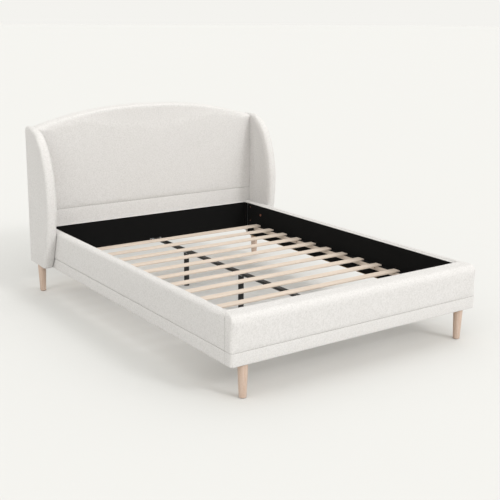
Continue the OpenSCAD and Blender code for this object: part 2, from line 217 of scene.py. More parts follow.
# %% [markdown]
# ## Finishes
#
# Each material starts from what the real surface is and how it was made. Patterns use Object
# coordinates in metres, so a thread, a grain line or a fleck has its real size on every piece.
#
# The weave has to follow faces that look in all directions, and the skins have no unwrapped map. So
# the pattern is worked out three times, once along each axis, and the face's own direction mixes them.
# The cloth is a hopsack: warp and weft take turns on top, like a chessboard of short raised threads.
# %% Draw the hopsack pattern as a node group
def hopsack_group(thread):
    """Node group with the height of a plain weave, from 0 to 1, for threads one 'thread' apart."""
    group = bpy.data.node_groups.new("hopsack", "ShaderNodeTree")
    group.interface.new_socket("Across", in_out="INPUT", socket_type="NodeSocketFloat")
    group.interface.new_socket("Along", in_out="INPUT", socket_type="NodeSocketFloat")
    group.interface.new_socket("Height", in_out="OUTPUT", socket_type="NodeSocketFloat")
    given = add(group, "NodeGroupInput")
    waves = []
    for side in ("Across", "Along"):
        turn = add(group, "ShaderNodeMath", {0: given.outputs[side], 1: math.pi / thread},
                   operation="MULTIPLY")
        waves.append(add(group, "ShaderNodeMath", {0: turn.outputs[0]}, operation="SINE").outputs[0])
    both = add(group, "ShaderNodeMath", {0: waves[0], 1: waves[1]}, operation="MULTIPLY")
    warp_on_top = add(group, "ShaderNodeMath", {0: both.outputs[0], 1: 0.0}, operation="GREATER_THAN")
    round_threads = [add(group, "ShaderNodeMath", {0: w}, operation="ABSOLUTE").outputs[0] for w in waves]
    crowns = []
    for width, length in (round_threads, round_threads[::-1]):
        bow = add(group, "ShaderNodeMath", {0: length, 1: 0.5, 2: 0.5}, operation="MULTIPLY_ADD")
        crown = add(group, "ShaderNodeMath", {0: width, 1: bow.outputs[0]}, operation="MULTIPLY")
        crowns.append(crown.outputs[0])
    top = add(group, "ShaderNodeMix", {0: warp_on_top.outputs[0], 2: crowns[1], 3: crowns[0]})
    add(group, "NodeGroupOutput", {"Height": top.outputs[0]})
    return group

# Real hopsack for beds has threads about 1 mm apart. They would vanish at this distance, so they are
# drawn 2.4 mm apart, which keeps the cloth's grain in view.
hopsack = hopsack_group(thread=0.0024)
print("hopsack group has", len(hopsack.nodes), "nodes")

# %% Woven polyester hopsack, for every padded cover
def new_finish(name):
    """Material with its tree, its shader and its object coordinates."""
    made = bpy.data.materials.new(name)
    made.use_nodes = True
    tree = made.node_tree
    place = add(tree, "ShaderNodeTexCoord").outputs["Object"]
    return made, tree, tree.nodes["Principled BSDF"], place

def woven_upholstery():
    """Off-white hopsack: soft, without gloss, with slubs about 6 mm long and a faint fuzz."""
    made, tree, shader, place = new_finish("hopsack_upholstery")
    wander = add(tree, "ShaderNodeTexNoise", {"Vector": place, "Scale": 90, "Detail": 1})
    shift = add(tree, "ShaderNodeVectorMath", {0: wander.outputs["Color"], 1: (0.0011,) * 3},
                operation="MULTIPLY")
    bent = add(tree, "ShaderNodeVectorMath", {0: place, 1: shift.outputs[0]}, operation="ADD")
    axes = add(tree, "ShaderNodeSeparateXYZ", {0: bent.outputs[0]}).outputs
    facing = add(tree, "ShaderNodeNewGeometry").outputs["Normal"]
    size = add(tree, "ShaderNodeVectorMath", {0: facing}, operation="ABSOLUTE")
    sharp = add(tree, "ShaderNodeVectorMath", {0: size.outputs[0], 1: (6, 6, 6)}, operation="POWER")
    total = add(tree, "ShaderNodeVectorMath", {0: sharp.outputs[0], 1: (1, 1, 1)}, operation="DOT_PRODUCT")
    heights = [add(tree, "ShaderNodeGroup", {"Across": axes[a], "Along": axes[b]}, node_tree=hopsack)
               for a, b in ((1, 2), (0, 2), (0, 1))]
    three = add(tree, "ShaderNodeCombineXYZ", {i: height.outputs[0] for i, height in enumerate(heights)})
    mixed = add(tree, "ShaderNodeVectorMath", {0: three.outputs[0], 1: sharp.outputs[0]},
                operation="DOT_PRODUCT")
    weave = add(tree, "ShaderNodeMath", {0: mixed.outputs["Value"], 1: total.outputs["Value"]},
                operation="DIVIDE")
    slubs = add(tree, "ShaderNodeTexNoise", {"Vector": place, "Scale": 140, "Detail": 2, "Roughness": 0.6})
    relief = add(tree, "ShaderNodeMath", {0: slubs.outputs[0], 1: 2.2, 2: weave.outputs[0]},
                 operation="MULTIPLY_ADD")
    tone = add(tree, "ShaderNodeMapRange", {"Value": relief.outputs[0], "From Min": 1.0, "From Max": 1.9})
    cloth = add(tree, "ShaderNodeMix", {0: tone.outputs[0], 6: colour("#c0bebc"), 7: colour("#d5d3d2")},
                data_type="RGBA")
    fading = add(tree, "ShaderNodeTexNoise", {"Vector": place, "Scale": 3.0, "Detail": 2})
    wash = add(tree, "ShaderNodeMapRange", {
        "Value": fading.outputs[0], "From Min": 0.3, "From Max": 0.7, "To Min": 0.0, "To Max": 0.12})
    worn = add(tree, "ShaderNodeMix", {0: wash.outputs[0], 6: cloth.outputs[2], 7: colour("#c8c5c1")},
               data_type="RGBA")
    tree.links.new(worn.outputs[2], shader.inputs["Base Color"])
    bump = add(tree, "ShaderNodeBump", {"Height": relief.outputs[0], "Strength": 0.6, "Distance": 0.0009})
    tree.links.new(bump.outputs[0], shader.inputs["Normal"])
    shader.inputs["Roughness"].default_value = 0.95
    shader.inputs["Specular IOR Level"].default_value = 0.2
    shader.inputs["Sheen Weight"].default_value = 0.12
    shader.inputs["Sheen Roughness"].default_value = 0.5
    return made

def seam_thread_with_painted_shade():
    """Twisted polyester sewing thread, darkened below the cloth's own colour as painted shade, so that a seam
    reads as the shadowed line in its valley.
    """
    made, tree, shader, place = new_finish("polyester_thread")
    twist = add(tree, "ShaderNodeTexNoise", {"Vector": place, "Scale": 900, "Detail": 1})
    # The thread's grey is partly its own colour and partly painted shade, standing in for the shadow in a
    # seam's valley.
    shade = add(tree, "ShaderNodeMix", {0: twist.outputs[0], 6: colour("#7f7c78"), 7: colour("#9a9793")},
                data_type="RGBA")
    tree.links.new(shade.outputs[2], shader.inputs["Base Color"])
    shader.inputs["Roughness"].default_value = 0.7
    return made

UPHOLSTERY = woven_upholstery()
SEAM_SHADE_THREAD = seam_thread_with_painted_shade()
print("made", UPHOLSTERY.name, "and", SEAM_SHADE_THREAD.name)

# %% Black non-woven lining, for the inside of the rails
def nonwoven_lining():
    """Spun-bonded polypropylene felt: fibres pressed together by a grid of dots 2.5 mm apart."""
    made, tree, shader, place = new_finish("spunbond_lining")
    dots = add(tree, "ShaderNodeTexVoronoi", {"Vector": place, "Scale": 400, "Randomness": 0.25})
    fibres = add(tree, "ShaderNodeTexNoise", {"Vector": place, "Scale": 700, "Detail": 3})
    lift = add(tree, "ShaderNodeMath", {0: fibres.outputs[0], 1: 0.4, 2: dots.outputs["Distance"]},
               operation="MULTIPLY_ADD")
    tone = add(tree, "ShaderNodeMapRange", {"Value": lift.outputs[0], "From Min": 0.2, "From Max": 1.0})
    felt = add(tree, "ShaderNodeMix", {0: tone.outputs[0], 6: colour("#040404"), 7: colour("#0c0c0c")},
               data_type="RGBA")
    tree.links.new(felt.outputs[2], shader.inputs["Base Color"])
    bump = add(tree, "ShaderNodeBump", {"Height": lift.outputs[0], "Strength": 0.4, "Distance": 0.0003})
    tree.links.new(bump.outputs[0], shader.inputs["Normal"])
    shader.inputs["Roughness"].default_value = 0.9
    shader.inputs["Specular IOR Level"].default_value = 0.15
    return made

# %% [markdown]
# Wood is drawn as long, thin streaks. Noise is stretched along the grain by shrinking the coordinate
# in that direction, and a second, finer noise gives pores. Slats, legs, sawn timber and plywood share
# the same recipe, and differ in colour, in the way the grain runs and in the varnish.
# %% Woods
def wood(name, light, dark, stretch, grain, roughness, coat=0.0, fleck=0.0, tone_name=None):
    """Wood with its grain streaks 'grain' metres apart, drawn out along the small axis of 'stretch'."""
    made, tree, shader, place = new_finish(name)
    if tone_name:
        number = add(tree, "ShaderNodeAttribute", attribute_name=tone_name).outputs["Fac"]
        away = add(tree, "ShaderNodeCombineXYZ", {0: number, 1: number, 2: number})
        place = add(tree, "ShaderNodeVectorMath", {0: place, 1: away.outputs[0]}, operation="ADD").outputs[0]
    run = add(tree, "ShaderNodeMapping", {"Vector": place, "Scale": stretch}).outputs[0]
    streaks = add(tree, "ShaderNodeTexNoise", {
        "Vector": run, "Scale": 1 / grain, "Detail": 4, "Distortion": 0.4})
    pores = add(tree, "ShaderNodeTexNoise", {"Vector": run, "Scale": 5 / grain, "Detail": 2})
    figure = add(tree, "ShaderNodeMath", {0: pores.outputs[0], 1: 0.35, 2: streaks.outputs[0]},
                 operation="MULTIPLY_ADD")
    tone = add(tree, "ShaderNodeMapRange", {"Value": figure.outputs[0], "From Min": 0.42, "From Max": 0.9})
    board = add(tree, "ShaderNodeMix", {0: tone.outputs[0], 6: colour(light), 7: colour(dark)},
                data_type="RGBA")
    if fleck:
        specks = add(tree, "ShaderNodeTexNoise", {"Vector": run, "Scale": 9 / grain, "Detail": 0})
        spots = add(tree, "ShaderNodeMapRange", {
            "Value": specks.outputs[0], "From Min": 0.62, "From Max": 0.7, "To Max": fleck})
        board = add(tree, "ShaderNodeMix", {0: spots.outputs[0], 6: board.outputs[2], 7: colour("#9c7a5e")},
                    data_type="RGBA")
    tree.links.new(board.outputs[2], shader.inputs["Base Color"])
    bump = add(tree, "ShaderNodeBump", {"Height": figure.outputs[0], "Strength": 0.25, "Distance": 0.0004})
    tree.links.new(bump.outputs[0], shader.inputs["Normal"])
    shader.inputs["Roughness"].default_value = roughness
    shader.inputs["Coat Weight"].default_value = coat
    shader.inputs["Coat Roughness"].default_value = 0.3
    return made

SLAT_TONE = "slat_tone"          # attribute that gives each slat its own piece of the tree
slat_wood = wood("planed_poplar", "#d3c5b8", "#c0b1a3", (0.06, 1, 1), 0.009, 0.75, tone_name=SLAT_TONE)
ledge_wood = wood("planed_poplar_ledge", "#d3c5b8", "#bdaea0", (1, 0.06, 1), 0.009, 0.75)
leg_wood = wood("lacquered_beech", "#c4b2a5", "#b59b89", (1, 1, 0.05), 0.006, 0.5, coat=0.25, fleck=0.35)
sawn_timber = wood("sawn_pine", "#d6b98a", "#b38f5c", (0.05, 1, 1), 0.008, 0.85)
plywood = wood("birch_plywood", "#cfb088", "#b18d5f", (0.1, 1, 0.5), 0.02, 0.8)
print("woods:", slat_wood.name, leg_wood.name, sawn_timber.name, plywood.name)

# %% [markdown]
# The beam and its legs are square tube with powder coat, baked on as a fine orange peel. The brackets
# are zinc plated, with pale crystals a few millimetres wide. The screws and bolts have a red-brown
# phosphate coat. The floor glides are moulded polypropylene.
# %% Metals and plastics
def hard_finish(name, low, high, scale, relief, metallic, roughness):
    """Painted, plated or moulded surface with a mottle of 'scale' metres and a slight relief."""
    made, tree, shader, place = new_finish(name)
    mottle = add(tree, "ShaderNodeTexNoise", {"Vector": place, "Scale": 1 / scale, "Detail": 3})
    tone = add(tree, "ShaderNodeMapRange", {"Value": mottle.outputs[0], "From Min": 0.35, "From Max": 0.65})
    skin = add(tree, "ShaderNodeMix", {0: tone.outputs[0], 6: colour(low), 7: colour(high)}, data_type="RGBA")
    tree.links.new(skin.outputs[2], shader.inputs["Base Color"])
    bump = add(tree, "ShaderNodeBump", {"Height": mottle.outputs[0], "Strength": 0.3, "Distance": relief})
    tree.links.new(bump.outputs[0], shader.inputs["Normal"])
    gloss = add(tree, "ShaderNodeMapRange", {
        "Value": mottle.outputs[0], "To Min": roughness - 0.08, "To Max": roughness + 0.08})
    tree.links.new(gloss.outputs[0], shader.inputs["Roughness"])
    shader.inputs["Metallic"].default_value = metallic
    return made

finishes = {
    "upholstery": UPHOLSTERY,
    "black_lining": nonwoven_lining(),
    "frame_timber": sawn_timber,
    "plywood": plywood,
    "slat_wood": ledge_wood,
    "leg_wood": leg_wood,
    "black_steel": hard_finish("black_powder_coat", "#101010", "#1b1b1b", 0.0012, 0.0002, 0.0, 0.5),
    "zinc_steel": hard_finish("zinc_plate", "#a9abad", "#c6c8ca", 0.004, 0.0001, 1.0, 0.4),
    "bronzed_steel": hard_finish("brown_phosphated_steel", "#6b3f31", "#96644f", 0.003, 0.0001, 0.4, 0.45),
    "black_plastic": hard_finish("moulded_polypropylene", "#1c1b1a", "#262524", 0.0008, 0.0001, 0.0, 0.55),
}
for part in frame["record"]["subparts"]:
    slots = frame["nodes"][part["node"]].data.materials
    slots.clear()
    slots.append(finishes[part["material_slot"]])

# %% [markdown]
# ## How a padded skin is made
#
# A rail cover is the same section all along, and so are the bands and the headboard, nearly. Such a
# shape is a loft: a closed outline repeated along a path, with its points joined into quads. It could be
# extruded and bevelled, but a loft puts points exactly where seams and soft corners need them.
#
# An outline is given by its corners. Each has a radius, and says how many steps its straight run takes.
# %% Round an outline's corners and loft it
def outline(corners):
    """Closed outline through corners (a, b, radius, steps to the next corner), as an array of points."""
    places = [Vector(c[:2]) for c in corners]
    arcs = []
    for i, (_, _, radius, _) in enumerate(corners):
        here, back, on = places[i], places[i - 1] - places[i], places[(i + 1) % len(places)] - places[i]
        if radius == 0:
            arcs.append([here])
            continue
        back.normalize()
        on.normalize()
        half = back.angle(on) / 2
        middle = here + (back + on).normalized() * radius / math.sin(half)
        reach = radius / math.tan(half)
        start, end = here + back * reach - middle, here + on * reach - middle
        steps = max(3, round(radius / 0.004))
        arcs.append([middle + start.slerp(end, k / steps).normalized() * radius for k in range(steps + 1)])
    points = []
    for i, (_, _, _, steps) in enumerate(corners):
        points += arcs[i]
        end = arcs[(i + 1) % len(arcs)][0]
        points += [arcs[i][-1].lerp(end, k / steps) for k in range(1, steps)]
    return np.array(points)

def inset(points, amount):
    """A closed outline of an (n, 2) array moved inwards by amount."""
    along = np.roll(points, -1, 0) - np.roll(points, 1, 0)
    along /= np.linalg.norm(along, axis=1)[:, None]
    inward = np.stack([-along[:, 1], along[:, 0]], 1)
    area = np.sum(points[:, 0] * np.roll(points[:, 1], -1) - np.roll(points[:, 0], -1) * points[:, 1])
    return points + inward * amount * (1 if area > 0 else -1)

def stations(length, step):
    """Places along a loft, closer together at its ends, with how far the skin turns in at each."""
    ends = [(0, TUCK), (TUCK * 0.3, TUCK * 0.286), (TUCK, 0.0), (TUCK * 4, 0.0)]
    middle = np.linspace(TUCK * 4, length - TUCK * 4, max(2, round(length / step)))[1:-1]
    return ends + [(s, 0.0) for s in middle] + [(length - s, turn) for s, turn in ends[::-1]]

def loft(name, rings):
    """Object with a closed skin over a row of equal rings, and flat ends."""
    rings = np.asarray(rings, float)
    count, size = rings.shape[:2]
    quads = [(i * size + j, i * size + (j + 1) % size, (i + 1) * size + (j + 1) % size, (i + 1) * size + j)
             for i in range(count - 1) for j in range(size)]
    ends = [tuple(range(size)), tuple(range((count - 1) * size, count * size))]
    mesh = bpy.data.meshes.new(name)
    mesh.from_pydata(rings.reshape(-1, 3).tolist(), [], quads + ends)
    work = bmesh.new()
    work.from_mesh(mesh)
    bmesh.ops.triangulate(work, faces=[f for f in work.faces if len(f.verts) > 4])
    bmesh.ops.remove_doubles(work, verts=work.verts, dist=1e-5)
    bmesh.ops.recalc_face_normals(work, faces=work.faces)
    work.to_mesh(mesh)
    work.free()
    piece = bpy.data.objects.new(name, mesh)
    scene.collection.objects.link(piece)
    return piece

print("a 2 m loft has", len(stations(2.0, 0.01)), "rings")

# %% [markdown]
# ## How the foam fills it
#
# Foam under stretched cloth pushes the skin out between its seams, and the staples and stitches hold
# it back. Cloth simulation does this well: pressure blows the closed skin up for twenty frames without
# gravity, while points near a seam or against timber are held. The move is then capped, because this
# foam is firm: a few millimetres are enough to turn a flat face into a padded one.
# %% Blow a skin up, then finish it
def points_of(piece):
    """Vertex places as an (n, 3) array."""
    flat = np.empty(len(piece.data.vertices) * 3, np.float32)
    piece.data.vertices.foreach_get("co", flat)
    return flat.reshape(-1, 3).astype(float)

def move_points(piece, places):
    """Puts the vertices at new places."""
    piece.data.vertices.foreach_set("co", places.astype(np.float32).ravel())
    piece.data.update()

def near(distance, width):
    """1 at distance 0, falling smoothly to 0 at width."""
    t = np.clip(1 - np.abs(distance) / width, 0, 1)
    return t * t * (3 - 2 * t)

PRESSURE = 4.0                   # air pressure in the cloth simulation
FRAMES = 20                      # frames that it runs for

def puff(piece, held, cap):
    """Blows the skin up by at most cap metres. held is 1 where the cloth is fixed and 0 where it is free."""
    mark = piece.data.attributes.new("held", "FLOAT", "POINT")
    mark.data.foreach_set("value", held.astype(np.float32))
    before = points_of(piece)
    group = piece.vertex_groups.new(name="held")
    for level in range(1, 11):
        chosen = np.nonzero(np.round(held * 10) == level)[0]
        group.add(chosen.tolist(), level / 10, "REPLACE")
    cloth = piece.modifiers.new("Cloth", "CLOTH")
    cloth.settings.use_pressure = True
    cloth.settings.uniform_pressure_force = PRESSURE
    cloth.settings.vertex_group_mass = "held"
    cloth.settings.effector_weights.gravity = 0
    cloth.collision_settings.use_collision = False
    cloth.point_cache.frame_start, cloth.point_cache.frame_end = 1, FRAMES
    for number in range(1, FRAMES + 1):
        scene.frame_set(number)
    blown = piece.evaluated_get(bpy.context.evaluated_depsgraph_get())
    after = points_of(blown)
    piece.modifiers.remove(cloth)
    piece.vertex_groups.clear()
    scene.frame_set(1)
    move = after - before
    length = np.linalg.norm(move, axis=1)
    kept = cap * (1 - np.exp(-length / cap)) / np.maximum(length, 1e-9) * (1 - held ** 3)
    move_points(piece, before + move * kept[:, None])
    print(piece.name, "swelled by up to", round(1000 * float((length * kept).max()), 1), "mm")

def mirrored(piece, name):
    """Copy of a right-hand piece for the left side, with its faces turned the right way out."""
    copy = bpy.data.objects.new(name, piece.data.copy())
    copy.data.transform(Matrix.Scale(-1, 4, (1, 0, 0)))
    copy.data.flip_normals()
    scene.collection.objects.link(copy)
    return copy

def finish_pad(piece, nodes, seed, unevenness=0.0006, dents=()):
    """Adds the unevenness of hand-stretched cloth, one subdivision and the finish, and hands the pad over."""
    places = points_of(piece)
    normals = np.empty(len(places) * 3, np.float32)
    piece.data.vertex_normals.foreach_get("vector", normals)
    normals = normals.reshape(-1, 3).astype(float)
    held = np.empty(len(places), np.float32)
    piece.data.attributes["held"].data.foreach_get("value", held)
    shift = Vector((seed * 3.1, seed * 1.7, seed * 2.3))
    broad = np.array([noise.noise(Vector(p) * 9 + shift) for p in places])
    small = np.array([noise.noise(Vector(p) * 26 + shift) for p in places])
    lift = unevenness * (broad + 0.4 * small) * (1 - held)
    for depth, away, width in dents:
        lift = lift - depth * near(away(places), width)
    move_points(piece, places + normals * lift[:, None])
    piece.data.attributes.remove(piece.data.attributes["held"])
    smooth = piece.modifiers.new("Subdivision", "SUBSURF")
    smooth.levels = smooth.render_levels = 1
    settle(piece)
    piece.data.materials.append(UPHOLSTERY)
    hand_over(piece, nodes)

def settle(piece):
    """Turns what the modifiers make into a plain mesh with smooth shading."""
    made = bpy.data.meshes.new_from_object(piece.evaluated_get(bpy.context.evaluated_depsgraph_get()))
    made.name = piece.name
    piece.modifiers.clear()
    piece.data = made
    made.polygons.foreach_set("use_smooth", [True] * len(made.polygons))

def hand_over(piece, nodes=()):
    """Fixes a piece to the bed, hides the frame parts that it stands in for, and prints its triangle count.
    """
    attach(piece, "root")
    if nodes:
        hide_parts(*nodes)
    print(piece.name, "has", sum(len(p.vertices) - 2 for p in piece.data.polygons), "triangles")

# %% [markdown]
# ## Side rails
#
# A side rail is a board with foam on its outside and over its top. The cloth is stapled down at the
# well, sewn through 14 mm further out, and from that seam it rises in a crown and drops over a soft
# outer edge. A band of the same cloth is sewn on underneath.
# %% Side rail covers and bands
STRIP_W = 0.014                  # flat strip between the well and the crown's seam
STRIP_LIFT = 0.0015              # how far the strip's cloth stands above the edge
RAIL_ROLL = 0.018                # radius of the crown's outer edge
CROWN_SEAM_X = WELL_X + STRIP_W
GRID = 0.009                     # usual distance between points on a pad

def rows(length):
    """Number of steps of about one grid distance in a length."""
    return max(1, round(length / GRID))

def rail_section():
    """Outline of the right rail's cover as (x, z)."""
    return outline([
        (COVER_X, BAND_Z, 0, rows(BOARD_TOP - BAND_Z)), (COVER_X, BOARD_TOP, 0, 3), (WELL_X, BOARD_TOP, 0, 1),
        (WELL_X, EDGE_Z + STRIP_LIFT, 0.002, 2), (CROWN_SEAM_X - 0.0022, EDGE_Z + STRIP_LIFT, 0.001, 1),
        (CROWN_SEAM_X, EDGE_Z - 0.0016, 0, 1), (CROWN_SEAM_X + 0.0015, CROWN_Z, 0.0105, 1),
        (OUT_X, CROWN_Z, RAIL_ROLL, rows(CROWN_Z - BAND_Z)), (OUT_X, BAND_Z, WELT, 3)])

def mitre_y(x):
    """Where a rail's cover meets the footboard's, along the slanting seam over the corner."""
    return WELL_Y + (CORNER_Y - WELL_Y) * (x - WELL_X) / (OUT_X - WELL_X)

def along_y(section, start, end, name):
    """Loft of an (x, z) section along Y, from start(x) to end."""
    rings = []
    for s, turn in stations(1.0, GRID / (end - CORNER_Y)):
        ring = inset(section, turn)
        first = start(ring[:, 0])
        rings.append(np.stack([ring[:, 0], first + (end - first) * s, ring[:, 1]], 1))
    return loft(name, rings)

rail_cover = along_y(rail_section(), mitre_y, rail_hi.y, "right_rail_padding")
spots = points_of(rail_cover)
rail_held = np.maximum.reduce([
    near(spots[:, 2] - BAND_Z, HOLD), near(spots[:, 1] - mitre_y(spots[:, 0]), HOLD),
    1.0 * (spots[:, 0] < COVER_X + SLACK) * (spots[:, 2] < BOARD_TOP + SLACK),
    1.0 * (spots[:, 0] < CROWN_SEAM_X + SLACK)])
puff(rail_cover, rail_held, cap=0.003)
finish_pad(mirrored(rail_cover, "left_rail_padding"), ["left_rail_cover"], seed=2)
finish_pad(rail_cover, ["right_rail_cover"], seed=1)

band_section = outline([(COVER_X, BASE_Z, 0, rows(BAND_Z - BASE_Z)), (COVER_X, BAND_Z, 0, 3),
                        (OUT_X, BAND_Z, WELT, rows(BAND_Z - BASE_Z)), (OUT_X, BASE_Z, 0.006, 3)])
rail_band = along_y(band_section, lambda x: np.full(len(x), band_lo.y), band_hi.y, "right_rail_band_cloth")
spots = points_of(rail_band)
band_held = np.maximum.reduce([near(spots[:, 2] - BAND_Z, HOLD), near(spots[:, 2] - BASE_Z, 0.01),
                               near(spots[:, 1] - band_lo.y, 0.02), 1.0 * (spots[:, 0] < COVER_X + SLACK)])
puff(rail_band, band_held, cap=0.0015)
finish_pad(mirrored(rail_band, "left_rail_band_cloth"), ["left_rail_band"], seed=4)
finish_pad(rail_band, ["right_rail_band"], seed=3)

# %% [markdown]
# ## Footboard
#
# The footboard's cover wraps round both front corners and ends at an upright seam. A path follows the
# outside of the bed from seam to seam, with an arc at each corner, and every station on it pairs with a
# point on the inner edge. The section is drawn between the two, so round the corner the sections fan
# out from the well's corner like the pleats of a hospital corner pulled tight.
# %% Footboard cover and band
CORNER_R = 0.015                 # radius of the front corners, seen from above

def corner_path():
    """Stations round the foot end: place on the outside, direction inwards, and how far round the turn."""
    side, bend = CORNER_Y - (FRONT_Y + CORNER_R), OUT_X - CORNER_R
    half = [(Vector((OUT_X, CORNER_Y - d)), Vector((-1, 0)), 1.0, turn)
            for d, turn in ((0, TUCK), (TUCK * 0.3, TUCK * 0.286), (TUCK, 0), (TUCK * 4, 0), (side * 0.6, 0))]
    for k in range(9):
        a = math.pi / 2 * k / 8
        out = Vector((math.cos(a), -math.sin(a)))
        half.append((Vector((bend, FRONT_Y + CORNER_R)) + out * CORNER_R, -out, 1 - k / 8, 0))
    along_front = np.linspace(bend, -bend, 2 * rows(bend) + 1)[1:-1]
    front = [(Vector((x, FRONT_Y)), Vector((0, 1)), 0.0, 0) for x in along_front]
    other = [(Vector((-p.x, p.y)), Vector((-i.x, i.y)), share, turn) for p, i, share, turn in half[::-1]]
    return half + front + other

def foot_rings(with_top):
    """Rings of the footboard's cover, or of its band where there is no top."""
    rings = []
    for place, inward, share, turn in corner_path():
        front_depth, side_depth = core_lo.y - FRONT_Y, OUT_X - COVER_X
        depth = front_depth + share * (side_depth - front_depth)
        if with_top:
            inner = Vector((max(-1, min(1, place.x / (OUT_X - CORNER_R))) * WELL_X, WELL_Y))
            inward = (inner - place).normalized()
            top = (inner - place).length
            ring = outline([
                (0, BAND_Z, WELT, rows(CROWN_Z - BAND_Z)), (0, CROWN_Z, 0.034, 5),
                (top - 0.02, CROWN_Z, 0.03, 2), (top, EDGE_Z + 0.002, 0.004, 1), (top, BOARD_TOP, 0, 5),
                (depth, BOARD_TOP, 0, 8), (depth, BAND_Z, 0, 2)])
        else:
            ring = outline([(0, BASE_Z, 0.006, rows(BAND_Z - BASE_Z)), (0, BAND_Z, WELT, 2),
                            (depth, BAND_Z, 0, 4), (depth, BASE_Z, 0, 2)])
        ring = inset(ring, turn)
        across, up = ring.T
        rings.append(np.stack([place.x + inward.x * across, place.y + inward.y * across, up], 1))
    return rings

foot_cover = loft("footboard_padding", foot_rings(True))
spots = points_of(foot_cover)
inside = (spots[:, 1] > core_lo.y - SLACK) * (np.abs(spots[:, 0]) < COVER_X + SLACK)
inside = inside * (spots[:, 2] < BOARD_TOP + SLACK)
foot_held = np.maximum.reduce([
    near(spots[:, 2] - BAND_Z, HOLD), near(spots[:, 1] - mitre_y(np.abs(spots[:, 0])), HOLD),
    near(spots[:, 1] - WELL_Y, 0.012), 1.0 * inside])
puff(foot_cover, foot_held, cap=0.003)
finish_pad(foot_cover, ["footboard_cover"], seed=5, unevenness=0.0003)

foot_band = loft("footboard_band_cloth", foot_rings(False))
spots = points_of(foot_band)
foot_band_held = np.maximum.reduce([
    near(spots[:, 2] - BAND_Z, HOLD), near(spots[:, 2] - BASE_Z, 0.01), near(spots[:, 1] - CORNER_Y, HOLD),
    1.0 * (spots[:, 1] > core_lo.y - SLACK) * (np.abs(spots[:, 0]) < COVER_X + SLACK)])
puff(foot_band, foot_band_held, cap=0.0015)

def dart_distance(places):
    """Distance from the short dart that takes up the cloth at the bottom of each front corner."""
    across = (np.abs(places[:, 0]) - OUT_X) - (FRONT_Y - places[:, 1])
    return np.hypot(across / math.sqrt(2), np.maximum(0, places[:, 2] - BASE_Z - 0.018))

finish_pad(foot_band, ["footboard_band"], seed=6, dents=[(0.0022, dart_distance, 0.006)])

# %% [markdown]
# ## Headboard
#
# The headboard is one arched panel. Its cloth runs up the front, rolls over the top edge and is stapled
# behind. A seam crosses the front at the height where the mattress will end, and the panel below it is
# flatter. The arch follows a rule, so each upright ring is cut to the height that the rule gives.
# %% Headboard front, lower panel and back
ARCH_RISE = 0.110                # from the arch's ends to its middle
ARCH_POWER = 2.3                 # how squarely the arch turns down at its ends
ARCH_ROLL = 0.020                # radius of the padded top edge
TOP_PAD = 0.015                  # padding over the timber's top edge
HALF = upper_hi.x                # half of the headboard's width

def arch_z(x):
    """Height of the headboard's top edge at x."""
    return upper_hi.z - ARCH_RISE * (abs(x) / HALF) ** ARCH_POWER

def across_x(ring_at, name):
    """Loft along X of the (y, z) ring that ring_at gives for each x, over the headboard's width."""
    rings = []
    for s, turn in stations(2 * HALF, GRID * 1.1):
        x = s - HALF
        ring = inset(ring_at(x), turn)
        rings.append(np.stack([np.full(len(ring), x), ring[:, 0], ring[:, 1]], 1))
    return loft(name, rings)

def upper_ring(x):
    """Outline of the upper pad as (y, z): front slab, rolled top, and a strip over the timber."""
    top, front = arch_z(x), upper_lo.y
    return outline([
        (front, upper_lo.z, WELT, 60), (front, top, ARCH_ROLL, 3), (upper_hi.y, top, 0.006, 1),
        (upper_hi.y, top - TOP_PAD, 0, 4), (PAD_BACK_Y, top - TOP_PAD, 0, 14),
        (PAD_BACK_Y, upper_lo.z, 0, 4)])

upper_pad = across_x(upper_ring, "headboard_front_padding")
spots = points_of(upper_pad)
tops = np.array([arch_z(x) for x in spots[:, 0]])
upper_held = np.maximum.reduce([
    near(spots[:, 2] - upper_lo.z, HOLD), near(HALF - np.abs(spots[:, 0]), 0.03),
    1.0 * (spots[:, 1] > PAD_BACK_Y - SLACK) * (spots[:, 2] < tops - TOP_PAD + SLACK),
    near(spots[:, 1] - upper_hi.y, 0.02)])
puff(upper_pad, upper_held, cap=0.005)
finish_pad(upper_pad, ["headboard_upper_pad"], seed=7, unevenness=0.0010)

LOWER_TAIL = 0.008               # how far the lower panel's cloth runs down behind the head rail's strip

def lower_ring(x):
    """Outline of the lower panel as (y, z)."""
    return outline([(lower_lo.y, lower_lo.z - LOWER_TAIL, 0.001, 10), (lower_lo.y, lower_hi.z, WELT, 3),
                    (lower_hi.y, lower_hi.z, 0, 4), (lower_hi.y, lower_lo.z, 0, 3)])

lower_pad = across_x(lower_ring, "headboard_lower_padding")
spots = points_of(lower_pad)
lower_held = np.maximum.reduce([
    near(spots[:, 2] - lower_lo.z, 0.02), near(spots[:, 2] - lower_hi.z, HOLD),
    near(HALF - np.abs(spots[:, 0]), 0.03), 1.0 * (spots[:, 1] > lower_hi.y - SLACK)])
puff(lower_pad, lower_held, cap=0.003)
finish_pad(lower_pad, ["headboard_lower_pad"], seed=8)

def back_ring(x):
    """Outline of the back cover as (y, z), a thin panel that is pulled flat and hemmed all round."""
    top = arch_z(x) - 0.002
    return outline([(back_lo.y, back_lo.z, 0, 1), (back_lo.y, top, 0, 1), (back_hi.y, top, 0.004, 70),
                    (back_hi.y, back_lo.z, 0.004, 1)][::-1])

back_cover = across_x(back_ring, "headboard_back_cloth")
spots = points_of(back_cover)
tops = np.array([arch_z(x) for x in spots[:, 0]])
back_held = np.maximum.reduce([
    near(spots[:, 2] - back_lo.z, 0.03), near(HALF - np.abs(spots[:, 0]), 0.03),
    near(spots[:, 2] - tops, 0.03), 1.0 * (spots[:, 1] < back_lo.y + SLACK)])
puff(back_cover, back_held, cap=0.002)
finish_pad(back_cover, ["headboard_back_cover"], seed=9, unevenness=0.0012)

